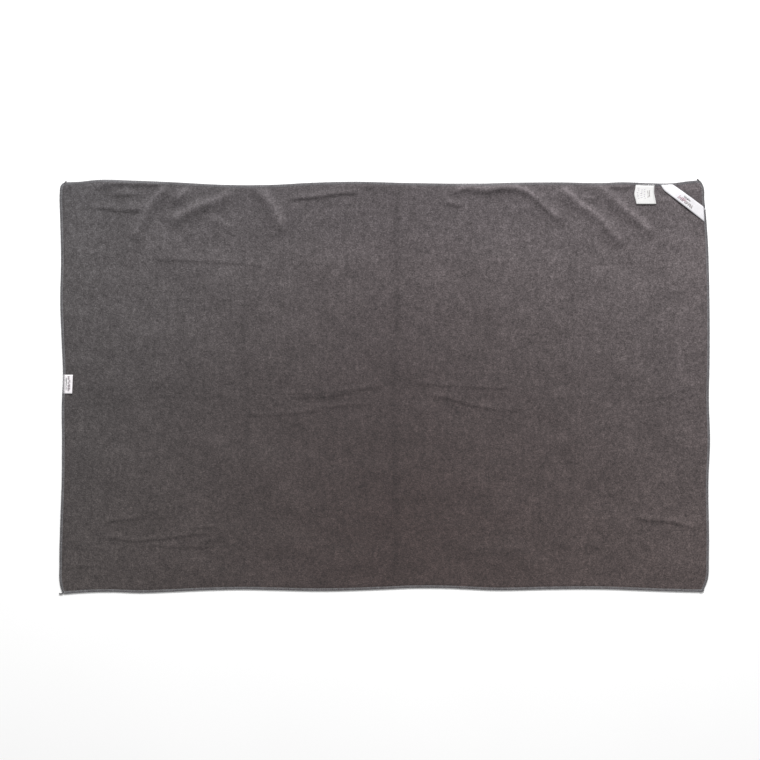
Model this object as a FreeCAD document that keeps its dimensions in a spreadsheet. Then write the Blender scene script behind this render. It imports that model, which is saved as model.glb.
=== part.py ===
"""Quick dry towel: one microfibre cloth with an overlocked edge, a corner loop, a care label and a side tag.

Units are millimetres. The towel lies flat on the plane Z = 0 with its pile side up, X along its length
and Y across its width. The origin is on that plane, at the middle of the towel. The cloth and its two
long seams are split at the line where the towel folds in half, so that each half is a rigid body.
"""

import FreeCAD, Part
import math
import os

import Sketcher

DIMENSIONS = (
    # alias, value, what it is
    ("towel_length", 1300, "over the seams, along X"),
    ("towel_width", 820, "over the seams, along Y"),
    ("fold_offset", 22, "from the towel's middle to the line where it folds in half"),
    ("fold_gap", 0.4, "clearance between the two halves at the fold"),
    ("cloth_thick", 2.0, "the cloth with its pile"),
    ("hem_thick", 1.2, "the cloth where the overlock presses it"),
    ("seam_width", 5, "overlock, from the towel's edge inwards"),
    ("seam_height", 2.6, "overlock, over its threads"),
    ("seam_wall", 0.8, "overlock threads outside the cloth's cut edge"),
    ("seam_round", 0.9, "rounding of the overlock's long outer edges"),
    ("corner_radius", 4, "rounding of the towel's corners"),
    ("tail_diameter", 2.4, "chain of thread that a seam ends in"),
    ("tail_bend", 14, "radius that a chain tail curls to"),
    ("tail_clearance", 0.1, "between a chain tail and the seam beside it"),
    ("tail_inset", 5.2, "from the towel's corner along its edge to a chain tail's middle"),
    ("top_left_tail", 3.5, "how far this chain tail reaches"),
    ("top_right_tail", 5.0, "how far this chain tail reaches"),
    ("bottom_left_tail", 8.0, "how far this chain tail reaches"),
    ("bottom_right_tail", 4.0, "how far this chain tail reaches"),
    ("trim_lift", 0.4, "from the cloth up to a label, tag or loop that lies on it"),
    ("loop_width", 21, "corner loop ribbon"),
    ("loop_thick", 0.6, "corner loop ribbon"),
    ("loop_length", 140, "ribbon before its ends are trimmed along the seams"),
    ("loop_span", 78, "free stretch of the ribbon between its sewn ends"),
    ("loop_rise", 6.5, "height of the free stretch's bow"),
    ("loop_angle", -38.5, "ribbon's direction from X, in degrees"),
    ("loop_from_right", 47.5, "ribbon's middle to the towel's right edge"),
    ("loop_from_top", 36, "ribbon's middle to the towel's top edge"),
    ("label_from_right", 108.5, "care label's right side to the towel's right edge"),
    ("label_width", 38, "front leaf of the care label"),
    ("label_length", 40, "front leaf of the care label, out of the seam"),
    ("label_overhang", 3, "how much wider the back leaf is, towards the loop"),
    ("label_thick", 0.45, "each leaf of the care label"),
    ("leaf_gap", 0.35, "between two layers of one label"),
    ("tag_width", 19, "side tag, out of the seam"),
    ("tag_length", 38, "side tag, along the seam"),
    ("tag_middle", 3.5, "side tag's middle from the towel's middle, along Y"),
    ("tag_layer", 0.45, "each layer of the folded side tag"),
    ("tag_fold", 0.6, "thickness of the side tag's folded edge, along X"),
    ("trim_clearance", 0.3, "between a seam and the label or tag that turns over it"),
)

LEFT, RIGHT, BOTTOM, TOP = -1, 1, -1, 1
UP, OVER_LEFT_END, DOWN = 0, 90, 180
# Chain tails: corner, the corner's two sides, the heading in degrees from +Y, and which way it curls.
# The bottom left one leaves over the end of the towel, and the others over its long edges.
TAILS = (
    ("top_left", LEFT, TOP, UP, LEFT),
    ("top_right", RIGHT, TOP, UP, LEFT),
    ("bottom_left", LEFT, BOTTOM, OVER_LEFT_END, LEFT),
    ("bottom_right", RIGHT, BOTTOM, DOWN, RIGHT),
)
TOUCH = 0.01  # coordinates this near count as the same when an edge is looked for
# A rectangle is drawn at this corner and size, and then its constraints give it the sheet's.
DRAWN_CORNER, DRAWN_WIDTH, DRAWN_HEIGHT = 1.0, 4.0, 3.0
Y_AXIS = FreeCAD.Vector(0, 1, 0)
Z_AXIS = FreeCAD.Vector(0, 0, 1)

doc = FreeCAD.newDocument("quick_dry_towel")
dims = doc.addObject("Spreadsheet::Sheet", "dims")
for row, (alias, value, note) in enumerate(DIMENSIONS, start=1):
    dims.set(f"A{row}", alias)
    dims.set(f"B{row}", str(value))
    dims.set(f"C{row}", note)
    dims.setAlias(f"B{row}", alias)
doc.recompute()


def bind(obj, **expressions):
    """Binds properties of an object to formulas of the sheet. Placement_x means Placement.Base.x."""
    for key, formula in expressions.items():
        path = key.replace("Placement_", "Placement.Base.")
        obj.setExpression(path, formula)


def new_body(label):
    body = doc.addObject("PartDesign::Body", label)
    body.Label = label
    return body


def turn_about_z(obj, degrees):
    obj.Placement = FreeCAD.Placement(FreeCAD.Vector(), FreeCAD.Rotation(Z_AXIS, degrees))


def new_sketch(body, name, role):
    """A sketch on one of the body's own origin planes: XY_Plane, XZ_Plane or YZ_Plane."""
    plane = next(f for f in body.Origin.OriginFeatures if f.Role == role)
    sketch = body.newObject("Sketcher::SketchObject", name)
    sketch.AttachmentSupport = (plane, "")
    sketch.MapMode = "FlatFace"
    return sketch


def constrain(sketch, kind, *arguments, formula=None):
    """Adds one constraint. With a formula, its value follows the sheet."""
    index = sketch.addConstraint(Sketcher.Constraint(kind, *arguments))
    if formula:
        sketch.setExpression(f"Constraints[{index}]", formula)
    return index


def outline(sketch, points):
    """A closed outline of straight lines through points, joined at its corners. Gives the lines' indices."""
    corners = [FreeCAD.Vector(x, y, 0) for x, y in points]
    lines = [
        sketch.addGeometry(Part.LineSegment(a, b), False)
        for a, b in zip(corners, corners[1:] + corners[:1])
    ]
    for line, following in zip(lines, lines[1:] + lines[:1]):
        constrain(sketch, "Coincident", line, 2, following, 1)
    return lines


def rectangle(body, name, role, width, height, x="0 mm", y="0 mm"):
    """A rectangle of width by height with its lowest corner at x, y. All four are formulas."""
    sketch = new_sketch(body, name, role)
    near, far_x, far_y = DRAWN_CORNER, DRAWN_CORNER + DRAWN_WIDTH, DRAWN_CORNER + DRAWN_HEIGHT
    bottom, right, top, left = outline(sketch, ((near, near), (far_x, near), (far_x, far_y), (near, far_y)))
    for line in (bottom, top):
        constrain(sketch, "Horizontal", line)
    for line in (right, left):
        constrain(sketch, "Vertical", line)
    constrain(sketch, "DistanceX", -1, 1, bottom, 1, near, formula=x)
    constrain(sketch, "DistanceY", -1, 1, bottom, 1, near, formula=y)
    constrain(sketch, "DistanceX", bottom, 1, bottom, 2, DRAWN_WIDTH, formula=width)
    constrain(sketch, "DistanceY", right, 1, right, 2, DRAWN_HEIGHT, formula=height)
    return sketch


def pad(body, sketch, length, name="Pad", midplane=False):
    feature = body.newObject("PartDesign::Pad", name)
    feature.Profile = sketch
    feature.SideType = "Symmetric" if midplane else "One side"
    bind(feature, Length=length)
    doc.recompute()
    return feature


def fillet(body, base, chosen, radius, name="Fillet"):
    """Rounds those edges of base for which chosen(edge) is true."""
    edges = [f"Edge{i}" for i, edge in enumerate(base.Shape.Edges, start=1) if chosen(edge)]
    feature = body.newObject("PartDesign::Fillet", name)
    feature.Base = (base, edges)
    bind(feature, Radius=radius)
    doc.recompute()
    return feature


def is_outer_corner(edge):
    """True for an upright edge at X = 0, which is the towel's end in the parts that have one."""
    box = edge.BoundBox
    return box.ZLength > box.XLength + box.YLength and box.XMax < TOUCH


def cloth_half(label, side):
    """One half of the cloth: its pile face, and the thinner hem round it that the overlock holds.
    It is drawn from its outer end, at X = 0, towards the fold."""
    body = new_body(label)
    reach = f"dims.towel_length / 2 - {side} * dims.fold_offset - dims.fold_gap / 2"
    hem_outline = rectangle(
        body, "HemOutline", "XY_Plane", f"{reach} - dims.seam_wall", "dims.towel_width - 2 * dims.seam_wall"
    )
    bind(hem_outline, **{"AttachmentOffset.Base.z": "(dims.cloth_thick - dims.hem_thick) / 2"})
    hem = pad(body, hem_outline, "dims.hem_thick", "Hem")
    fillet(body, hem, is_outer_corner, "dims.corner_radius - dims.seam_wall", "HemCorners")
    inset = "dims.seam_width - dims.seam_wall"
    pile_outline = rectangle(
        body,
        "PileOutline",
        "XY_Plane",
        f"{reach} - dims.seam_width",
        "dims.towel_width - 2 * dims.seam_width",
        x=inset,
        y=inset,
    )
    pad(body, pile_outline, "dims.cloth_thick", "Pile")
    turn_about_z(body, 180 if side == RIGHT else 0)
    bind(
        body,
        Placement_x=f"{side} * (dims.towel_length / 2 - dims.seam_wall)",
        Placement_y=f"{side} * (dims.towel_width / 2 - dims.seam_wall)",
    )
    return body


def overlock(label, cloth, plan, is_long_edge, degrees, x, y, corners=False):
    """A seam: a bar with rounded outer edges, drawn with its outside at 0, less the cloth that it wraps."""
    bar = new_body(f"{label}_bar")
    width, height = plan
    last = pad(bar, rectangle(bar, "Plan", "XY_Plane", width, height), "dims.seam_height", "Bar")
    if corners:
        last = fillet(bar, last, is_outer_corner, "dims.corner_radius", "Corners")
    fillet(bar, last, is_long_edge, "dims.seam_round", "LongEdges")
    turn_about_z(bar, degrees)
    bind(bar, Placement_x=x, Placement_y=y)
    seam = doc.addObject("Part::Cut", label)
    seam.Label = label
    seam.Base = bar
    seam.Tool = cloth
    return seam


def end_overlock(label, cloth, side):
    """The overlock of the left or right edge, over the towel's whole width, with its corners rounded."""
    return overlock(
        label,
        cloth,
        ("dims.seam_width", "dims.towel_width"),
        lambda edge: edge.BoundBox.YLength > dims.towel_width / 2 and edge.BoundBox.XMax < TOUCH,
        180 if side == RIGHT else 0,
        f"{side} * dims.towel_length / 2",
        f"{side} * dims.towel_width / 2",
        corners=True,
    )


def side_overlock(label, cloth, side, half):
    """The overlock of one half of the top or bottom edge, from the end seam to the fold."""
    reach = f"dims.towel_length / 2 - {half} * dims.fold_offset - dims.fold_gap / 2 - dims.seam_width"
    fold_end = f"dims.fold_offset + {half} * dims.fold_gap / 2"
    seam_end = f"{half} * (dims.towel_length / 2 - dims.seam_width)"
    left_end, right_end = (seam_end, fold_end) if half == LEFT else (fold_end, seam_end)
    return overlock(
        label,
        cloth,
        (reach, "dims.seam_width"),
        lambda edge: edge.BoundBox.XLength > dims.towel_length / 4 and edge.BoundBox.YMax < TOUCH,
        180 if side == TOP else 0,
        right_end if side == TOP else left_end,
        f"{side} * dims.towel_width / 2",
    )


def thread_tail(corner, x_side, y_side, heading, curl):
    """A chain of thread that runs off a corner and curls a little, lying on the ground.
    It is drawn along +Y, curling right, and turned over where it curls left."""
    body = new_body(f"{corner}_thread_tail")
    length = getattr(dims, f"{corner}_tail")
    thickness = dims.tail_diameter
    route = new_sketch(body, "Route", "XY_Plane")
    circle = Part.Circle(FreeCAD.Vector(dims.tail_bend, 0, 0), Z_AXIS, dims.tail_bend)
    route.addGeometry(Part.ArcOfCircle(circle, math.pi - math.asin(length / dims.tail_bend), math.pi), False)
    constrain(route, "Coincident", 0, 2, -1, 1)
    constrain(route, "PointOnObject", 0, 3, -1)
    constrain(route, "Radius", 0, dims.tail_bend, formula="dims.tail_bend")
    constrain(route, "DistanceY", -1, 1, 0, 1, length, formula=f"dims.{corner}_tail")
    section = new_sketch(body, "Section", "XZ_Plane")
    section.addGeometry(Part.Circle(FreeCAD.Vector(0, 0, 0), Z_AXIS, thickness / 2), False)
    constrain(section, "Coincident", 0, 3, -1, 1)
    constrain(section, "Diameter", 0, thickness, formula="dims.tail_diameter")
    chain = body.newObject("PartDesign::AdditivePipe", "Chain")
    chain.Profile = section
    chain.Spine = route
    across_end = heading == OVER_LEFT_END
    out = "dims.tail_clearance"
    back = "-dims.tail_inset"
    over = FreeCAD.Rotation(Y_AXIS, 180 if curl == LEFT else 0)
    body.Placement = FreeCAD.Placement(FreeCAD.Vector(), FreeCAD.Rotation(Z_AXIS, heading) * over)
    bind(
        body,
        Placement_x=f"{x_side} * (dims.towel_length / 2 + {out if across_end else back})",
        Placement_y=f"{y_side} * (dims.towel_width / 2 + {back if across_end else out})",
        Placement_z="dims.tail_diameter / 2",
    )
    return body


def ribbon_section(body):
    """The corner loop seen from its side: two flat feet and a low arch between them."""
    sketch = new_sketch(body, "Section", "XZ_Plane")
    foot, half_span, thick, rise = dims.loop_length / 2, dims.loop_span / 2, dims.loop_thick, dims.loop_rise
    radius = (half_span**2 + rise**2) / (2 * rise)
    centre = FreeCAD.Vector(0, -(radius**2 - half_span**2) ** 0.5, 0)
    toe = ((radius + thick) ** 2 - (thick - centre.y) ** 2) ** 0.5

    def line(x1, y1, x2, y2):
        segment = Part.LineSegment(FreeCAD.Vector(x1, y1, 0), FreeCAD.Vector(x2, y2, 0))
        return sketch.addGeometry(segment, False)

    def arc(size, x, y):
        start = math.atan2(y - centre.y, x)
        shape = Part.ArcOfCircle(Part.Circle(centre, Z_AXIS, size), start, math.pi - start)
        return sketch.addGeometry(shape, False)

    low_left = line(-foot, 0, -half_span, 0)
    under = arc(radius, half_span, 0)
    low_right = line(half_span, 0, foot, 0)
    right_end = line(foot, 0, foot, thick)
    top_right = line(foot, thick, toe, thick)
    over = arc(radius + thick, toe, thick)
    top_left = line(-toe, thick, -foot, thick)
    left_end = line(-foot, thick, -foot, 0)

    joins = (
        (low_left, 2, under, 2),
        (under, 1, low_right, 1),
        (low_right, 2, right_end, 1),
        (right_end, 2, top_right, 1),
        (top_right, 2, over, 1),
        (over, 2, top_left, 1),
        (top_left, 2, left_end, 1),
        (left_end, 2, low_left, 1),
        (under, 3, over, 3),
    )
    for join in joins:
        constrain(sketch, "Coincident", *join)
    for flat in (low_left, low_right, top_right, top_left):
        constrain(sketch, "Horizontal", flat)
    for upright in (right_end, left_end):
        constrain(sketch, "Vertical", upright)
    constrain(sketch, "PointOnObject", under, 3, -2)
    constrain(sketch, "PointOnObject", low_left, 1, -1)
    constrain(sketch, "PointOnObject", low_right, 1, -1)
    constrain(sketch, "Equal", right_end, left_end)
    constrain(sketch, "DistanceX", -1, 1, low_right, 1, half_span, formula="dims.loop_span / 2")
    constrain(sketch, "DistanceX", -1, 1, low_right, 2, foot, formula="dims.loop_length / 2")
    constrain(sketch, "DistanceX", low_left, 1, -1, 1, foot, formula="dims.loop_length / 2")
    constrain(sketch, "DistanceY", right_end, 1, right_end, 2, thick, formula="dims.loop_thick")
    bow = "((dims.loop_span / 2) ^ 2 + dims.loop_rise ^ 2) / (2 * dims.loop_rise)"
    constrain(sketch, "Radius", under, radius, formula=bow)
    constrain(sketch, "Radius", over, radius + thick, formula=f"{bow} + dims.loop_thick")
    return sketch


def corner_loop(label):
    """The ribbon across the top right corner, trimmed just inside the two seams that its ends meet."""
    ribbon = new_body("ribbon")
    pad(ribbon, ribbon_section(ribbon), "dims.loop_width", "Ribbon", midplane=True)
    turn_about_z(ribbon, dims.loop_angle)
    bind(
        ribbon,
        Placement_x="dims.towel_length / 2 - dims.loop_from_right",
        Placement_y="dims.towel_width / 2 - dims.loop_from_top",
        Placement_z="dims.cloth_thick + dims.trim_lift",
    )
    inside = doc.addObject("Part::Box", "inside_the_seams")
    bind(
        inside,
        Length="dims.towel_length / 2 - dims.seam_width - dims.trim_clearance",
        Width="dims.towel_width / 2 - dims.seam_width - dims.trim_clearance",
        Height="dims.cloth_thick + dims.loop_rise + dims.loop_width",
    )
    loop = doc.addObject("Part::Common", label)
    loop.Label = label
    loop.Base = ribbon
    loop.Tool = inside
    return loop


def care_leaf(label, overhang, layer):
    """One leaf of the care label, hanging from the top seam and lying on the cloth."""
    body = new_body(label)
    width = f"dims.label_width + {overhang} * dims.label_overhang"
    pad(body, rectangle(body, "Outline", "XY_Plane", width, "dims.label_length"), "dims.label_thick", "Leaf")
    right = f"dims.towel_length / 2 - dims.label_from_right + {overhang} * dims.label_overhang"
    top = "dims.towel_width / 2 - dims.seam_width - dims.trim_clearance"
    bind(
        body,
        Placement_x=f"{right} - ({width})",
        Placement_y=f"{top} - dims.label_length",
        Placement_z=f"dims.cloth_thick + dims.trim_lift + {layer} * (dims.label_thick + dims.leaf_gap)",
    )
    return body


def side_tag(label):
    """The folded tag in the left seam: two layers, joined at the fold that faces the towel's middle."""
    body = new_body(label)
    plan = rectangle(body, "Outline", "XY_Plane", "dims.tag_width", "dims.tag_length")
    pad(body, plan, "2 * dims.tag_layer + dims.leaf_gap", "Layers")
    gap = rectangle(
        body, "Gap", "XZ_Plane", "dims.tag_width - dims.tag_fold", "dims.leaf_gap", y="dims.tag_layer"
    )
    slot = body.newObject("PartDesign::Pocket", "BetweenLayers")
    slot.Profile = gap
    slot.SideType = "Symmetric"
    bind(slot, Length="3 * dims.tag_length")
    doc.recompute()

    def is_fold_edge(edge):
        box = edge.BoundBox
        return box.YLength > dims.tag_length / 2 and box.XMin > dims.tag_width - TOUCH

    fillet(body, slot, is_fold_edge, "dims.tag_layer", "Fold")
    bind(
        body,
        Placement_x="-dims.towel_length / 2 + dims.seam_width + dims.trim_clearance",
        Placement_y="dims.tag_middle - dims.tag_length / 2",
        Placement_z="dims.cloth_thick + dims.trim_lift",
    )
    return body


def build():
    """Makes every sub-part."""
    parts = []
    for name, side in (("left", LEFT), ("right", RIGHT)):
        cloth = cloth_half(f"towel_{name}_half", side)
        parts.append(cloth)
        parts.append(end_overlock(f"{name}_overlock", cloth, side))
        parts.append(side_overlock(f"top_overlock_{name}", cloth, TOP, side))
        parts.append(side_overlock(f"bottom_overlock_{name}", cloth, BOTTOM, side))
    for tail in TAILS:
        parts.append(thread_tail(*tail))
    parts.append(corner_loop("corner_loop"))
    parts.append(care_leaf("care_label_back", 1, 0))
    parts.append(care_leaf("care_label_front", 0, 1))
    parts.append(side_tag("side_tag"))
    return parts


def check(parts):
    """Stops if any object of the document failed, or a sub-part has no sound solid."""
    for obj in doc.Objects:
        if "Invalid" in obj.State or "Error" in obj.State:
            raise RuntimeError(f"{obj.Name} ({obj.Label}) failed: {obj.State}")
    for part in parts:
        shape = part.Shape
        if shape.isNull() or not shape.isValid() or shape.Volume <= 0:
            raise RuntimeError(f"{part.Label} has no valid solid")


sub_parts = build()
doc.recompute()
check(sub_parts)
os.makedirs("parts", exist_ok=True)
for part in sub_parts:
    part.Shape.exportStep(os.path.join("parts", f"{part.Label}.step"))
    box = part.Shape.BoundBox
    print(
        f"{part.Label}: x {box.XMin:.1f} to {box.XMax:.1f}, y {box.YMin:.1f} to {box.YMax:.1f}, "
        f"z {box.ZMin:.2f} to {box.ZMax:.2f}, {part.Shape.Volume:.1f} mm3"
    )
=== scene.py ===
"""Quick dry towel: one brushed cloth with an overlocked edge, a hanging ribbon, a care label and a side tag.

The tables and the shapes are in millimetres from the towel's middle, X along its length, Y across and Z up.
Meshes are made in metres. Each mesh carries its own rest place, so its weave stays on it in every pose.
"""
import math

import bpy
import numpy as np
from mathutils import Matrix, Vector


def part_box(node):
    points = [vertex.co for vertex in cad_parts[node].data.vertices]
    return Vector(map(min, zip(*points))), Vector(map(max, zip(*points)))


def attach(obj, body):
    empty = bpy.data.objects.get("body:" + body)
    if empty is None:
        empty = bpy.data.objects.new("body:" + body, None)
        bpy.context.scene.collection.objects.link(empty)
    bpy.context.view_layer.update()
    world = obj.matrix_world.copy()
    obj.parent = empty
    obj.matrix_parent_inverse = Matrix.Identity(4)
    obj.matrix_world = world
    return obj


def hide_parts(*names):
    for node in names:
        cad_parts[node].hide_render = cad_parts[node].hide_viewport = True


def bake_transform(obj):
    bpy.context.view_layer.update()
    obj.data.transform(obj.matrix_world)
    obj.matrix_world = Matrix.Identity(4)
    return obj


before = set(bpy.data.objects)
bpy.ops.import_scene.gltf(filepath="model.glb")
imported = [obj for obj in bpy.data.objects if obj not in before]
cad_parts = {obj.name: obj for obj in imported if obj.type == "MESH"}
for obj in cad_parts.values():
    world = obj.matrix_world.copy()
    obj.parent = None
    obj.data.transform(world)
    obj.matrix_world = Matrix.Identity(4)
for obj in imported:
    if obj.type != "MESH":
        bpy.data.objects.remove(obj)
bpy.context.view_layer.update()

MM = 0.001
SEED = 7
NOT_ZERO = 1e-9  # keeps a division from failing

# ---------------------------------------------------------------- sizes taken from the frame

HALF_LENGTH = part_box("right_overlock")[1].x / MM
HALF_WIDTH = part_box("right_overlock")[1].y / MM
SEAM_WIDTH = HALF_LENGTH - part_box("right_overlock")[0].x / MM
SEAM_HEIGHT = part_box("right_overlock")[1].z / MM
FOLD_X = (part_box("towel_left_half")[1].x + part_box("towel_right_half")[0].x) / 2 / MM
LABEL_LOW, LABEL_HIGH = (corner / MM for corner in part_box("care_label_back"))
LABEL_FRONT_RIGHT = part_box("care_label_front")[1].x / MM
TAG_LOW, TAG_HIGH = (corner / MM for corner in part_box("side_tag"))

# ---------------------------------------------------------------- the towel's outline

# How far each edge runs outside the cut rectangle: (place along the edge, outward).
TOP_EDGE = (
    (-650, -1), (-611, 0), (-581, 3.3), (-500, 2), (-430, -0.8), (-310, -6.5), (-220, -6), (-159, -2.6),
    (-69, 0), (51, -2.5), (202, -3.6), (262, -2), (353, -1.3), (443, -2.4), (473, -1), (533, -2.8),
    (593, -2.8), (625, 1), (650, 3),
)
BOTTOM_EDGE = (
    (-650, 7.5), (-611, 4.5), (-551, 3), (-491, 4.9), (-430, 2.9), (-370, 0.1), (-280, -1.9),
    (-220, -0.6), (-129, 1.2), (-9, -2.1), (51, -4.6), (112, -4.7), (232, -0.3), (322, -2.1), (443, -2.6),
    (503, -0.6), (563, 1.5), (650, 3.5),
)
LEFT_EDGE = (
    (-410, -5), (-402, -1), (-391, 1.9), (-350, 3.1), (-270, 1.3), (-190, -1.5), (-109, -2.1),
    (-29, -1.9), (11, -4), (91, -1.4), (172, 1.4), (252, -0.3), (332, 1.4), (388, 2.5), (410, 1),
)
RIGHT_EDGE = (
    (-410, -12), (-400, -8), (-391, -4), (-379, -1), (-350, 0), (-310, 0.5), (-190, -0.6), (-109, 2.5),
    (-29, 0.2), (51, 1.6), (212, 0.7), (292, -1.9), (332, -4.8), (372, -8.8), (397, -10.5), (410, -17),
)
CORNER_RADII = {"top_left": 12, "top_right": 4, "bottom_left": 3, "bottom_right": 6}
EDGE_REACH = 110          # how far into the cloth an edge's wander is felt

# ---------------------------------------------------------------- how ridges and creases shape the pile, and its painted highlight and shade

LINE_DETAIL = 6            # places on a ridge's line for each point that is given
CREST_HIGHLIGHT_FULL = 5.0           # a ridge this high has the full painted highlight along its crest
CREST_SHARE = 0.6          # the painted highlight's width, as a share of the ridge's
CREST_PLACE = 0.35         # how far up the upper side, which faces the lamp, the highlight's middle is, as a share of that side
CREST_BELOW = 0.5          # how much narrower the highlight is below the line
CREASE_SHADE_FULL = 1.5          # a crease this high has the full painted shade along its foot
CREASE_SHARP = 5.0         # a lower side narrower than this gets painted shade at its foot
CREASE_LOW = 1             # a crease up to this high, with soft sides, gets painted shade over its whole width
FURROW_PLACE = 0.9         # where the painted shade at the foot is, as a share of the lower side's width
FURROW_WIDTH = 2.7

# ---------------------------------------------------------------- ridges and creases

# Each line: points, height, half width on its upper side and on its lower side, length of its fading ends.
RIDGES = (
    (((-437, 404), (-455, 385), (-472, 367), (-485, 343), (-498, 317), (-513, 288)), 7.5, 6, 17, 20),
    (((-392, 402), (-411, 384), (-428, 362)), 6.0, 6, 15, 20),
    (((-306, 400), (-321, 382), (-351, 370), (-378, 360), (-405, 345), (-440, 330)), 6.5, 8, 15, 24),
    (((-270, 402), (-244, 382), (-227, 360), (-215, 335), (-200, 300)), 6.5, 12, 15, 34),
    (((-360, 341), (-334, 330), (-311, 317), (-296, 302)), 2.0, 9, 9, 24),
    (((-589, 384), (-576, 400), (-552, 406), (-500, 406), (-440, 404)), 2.6, 6, 5, 20),
    (((-596, 357), (-562, 357), (-535, 352), (-522, 353), (-476, 352)), 1.9, 10, 2.8, 20),
    (((-558, 384), (-520, 385), (-482, 383)), 1.5, 8, 4, 20),
    (((-196, 370), (-177, 376), (-150, 378), (-110, 384), (-80, 388), (-50, 385)), 2.8, 9, 3.2, 20),
    (
        (
            (128, 378), (142, 390), (160, 397), (201, 393), (238, 398),
            (275, 394), (296, 382), (316, 364), (336, 347), (360, 326),
        ),
        6.0, 9, 8, 26,
    ),
    (
        ((350, 404), (375, 380), (398, 360), (425, 343), (442, 326), (459, 306), (486, 276)),
        6.5, 8, 13, 26,
    ),
    (((416, 404), (445, 389), (469, 367), (492, 347), (512, 330), (550, 298)), 5.8, 8, 13, 26),
    (((118, 369), (136, 366), (158, 358)), 2.4, 7, 4, 14),
    (((388, 381), (405, 376), (432, 378)), 1.8, 5, 3, 14),
    (((398, 368), (412, 369), (428, 370)), 1.4, 5, 3, 10),
    (((447, 401), (470, 398), (500, 401)), 1.5, 5, 3, 14),
    (((546, 378), (562, 372), (586, 372)), 2.2, 7, 5, 14),
    (((600, 400), (618, 392), (632, 396)), 1.8, 8, 8, 14),
)
# The lines pressed in while it was packed, and the short wrinkles that were smoothed by hand.
CREASES = (
    (((21, 396), (24, 200), (19, 0), (22, -200), (20, -398)), 1.0, 7, 7, 40),
    (((-281, 330), (-283, 120), (-279, -100), (-282, -398)), 0.5, 8, 8, 60),
    (((374, 300), (376, 100), (372, -120), (375, -398)), 0.4, 8, 8, 60),
    (((-640, -22), (-400, -20), (-100, -24), (200, -20), (640, -23)), 0.2, 8, 4, 60),
    (((-300, 247), (-140, 247), (200, 252), (600, 249)), 0.2, 8, 4, 80),
    (((-640, -283), (-380, -287), (0, -284), (300, -287), (640, -284)), 0.2, 8, 4, 80),
    # upper left
    (((-485, 257), (-420, 254), (-345, 250), (-280, 246), (-225, 240)), 1.0, 8, 3.2, 40),
    (((-640, 274), (-590, 266), (-532, 255)), 0.5, 8, 3.2, 30),
    # middle
    (((-236, -13), (-150, -15), (-90, -10), (-34, -4), (-4, -2)), 0.8, 7, 3, 40),
    (((-200, -22), (-120, -20), (-44, -9)), 0.9, 7, 3, 30),
    (((-311, -56), (-230, -57), (-160, -51), (-104, -45)), 0.7, 7, 3.4, 40),
    (((-170, -48), (-100, -40), (-10, -34)), 0.7, 7, 3.4, 40),
    (((50, 8), (120, 2), (190, -2), (265, -5)), 0.7, 7, 3, 40),
    (((76, -14), (130, -25), (177, -38), (220, -46), (245, -54)), 1.1, 7, 3, 34),
    (((190, -44), (240, -48), (291, -43)), 0.6, 7, 3, 30),
    # lower left
    (((-582, -280), (-552, -271), (-512, -266), (-478, -261)), 0.9, 7, 3, 34),
    (((-590, -304), (-546, -305), (-498, -310), (-446, -305), (-385, -297), (-337, -292)), 1.0, 7, 3, 40),
    (((-405, -289), (-371, -283), (-331, -282)), 0.8, 6, 3, 20),
    (((-472, -315), (-425, -322), (-385, -321), (-337, -323)), 0.8, 7, 3, 30),
    (((-385, -312), (-351, -310), (-328, -299), (-331, -285)), 0.6, 5, 3, 20),
    (((-639, -355), (-612, -359), (-586, -364)), 1.0, 6, 3.4, 20),
    # lower right
    (((492, -262), (526, -267), (566, -270), (606, -279), (632, -290)), 1.6, 6, 4.4, 30),
    (((420, -214), (450, -216), (478, -220)), 0.6, 7, 3.4, 20),
    (((325, -316), (378, -320), (459, -323)), 0.7, 9, 9, 40),
    (((164, -326), (231, -329), (298, -328)), 0.7, 9, 9, 40),
)

# ---------------------------------------------------------------- cloth sizes

CELL_ALONG = 4.9           # the cloth's grid
# Its rows run from the bottom edge to these places, this far apart: closer where the creases and ridges are.
ROW_STOPS = (-330, -256, -64, 12, 228)
ROW_CELLS = (7.4, 3.2, 7.4, 2.9, 7.4, 3.7)
FOLD_CELL = 1.5
FOLD_REACH = 7             # how far each side of the fold line the cloth bends
FOLD_ZONE = 1.5            # how far its finer columns go, in reaches
HEM_STEPS = (0, 2.5, 5.0, 6.0, 7.0, 8.5, 11, 15)  # the columns and rows nearest an edge
HEM_LOW, HEM_HIGH = 0.75, 1.85
PILE_HIGH = 2.35
PILE_START, PILE_END = 5.2, 8.2  # where the thin hem ends and the full pile begins
NAP_HIGH, NAP_SIZE = 0.10, 14
OTHER_PILE = 40            # the underside's pattern is read this far off, so that it isn't the upper side's
# The slow unevenness: its waves' (height, size), what is added to them, and where it grows in from the edge.
SWELLS = ((0.9, 210), (0.5, 90), (0.22, 38))
SWELL_RISE = 0.6
SWELL_EDGE = (-4, 60)

# ---------------------------------------------------------------- seam sizes

STITCH = 1.7
THREAD = 0.42              # radius
COIL_POINTS = 10           # places in each turn of the looper thread
COIL_SIDES = 5
COIL_UNEVEN = 0.10
COIL_OUT = 0.3             # how far the coil sits outside the seam's middle line
COIL_FLAT_EDGE, COIL_FLAT_TOP = 0.7, 0.6  # below 1 the coil is squarer than a circle
NEEDLE_THREAD = 0.30
NEEDLE_POINTS = 4          # places in each stitch
NEEDLE_SIDES = 4
NEEDLE_DROP, NEEDLE_BEAT, NEEDLE_INSET = 0.9, 0.45, 0.4
TAIL_THREAD = 0.62
TAIL_STRANDS, TAIL_TURNS = 3, 3.5
TAIL_OFFSET = 0.72         # how far each strand's middle is from the chain's
TAIL_POINTS, TAIL_SIDES = 28, 6
LEFT, RIGHT, BOTTOM, TOP = "left", "right", "bottom", "top"
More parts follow.
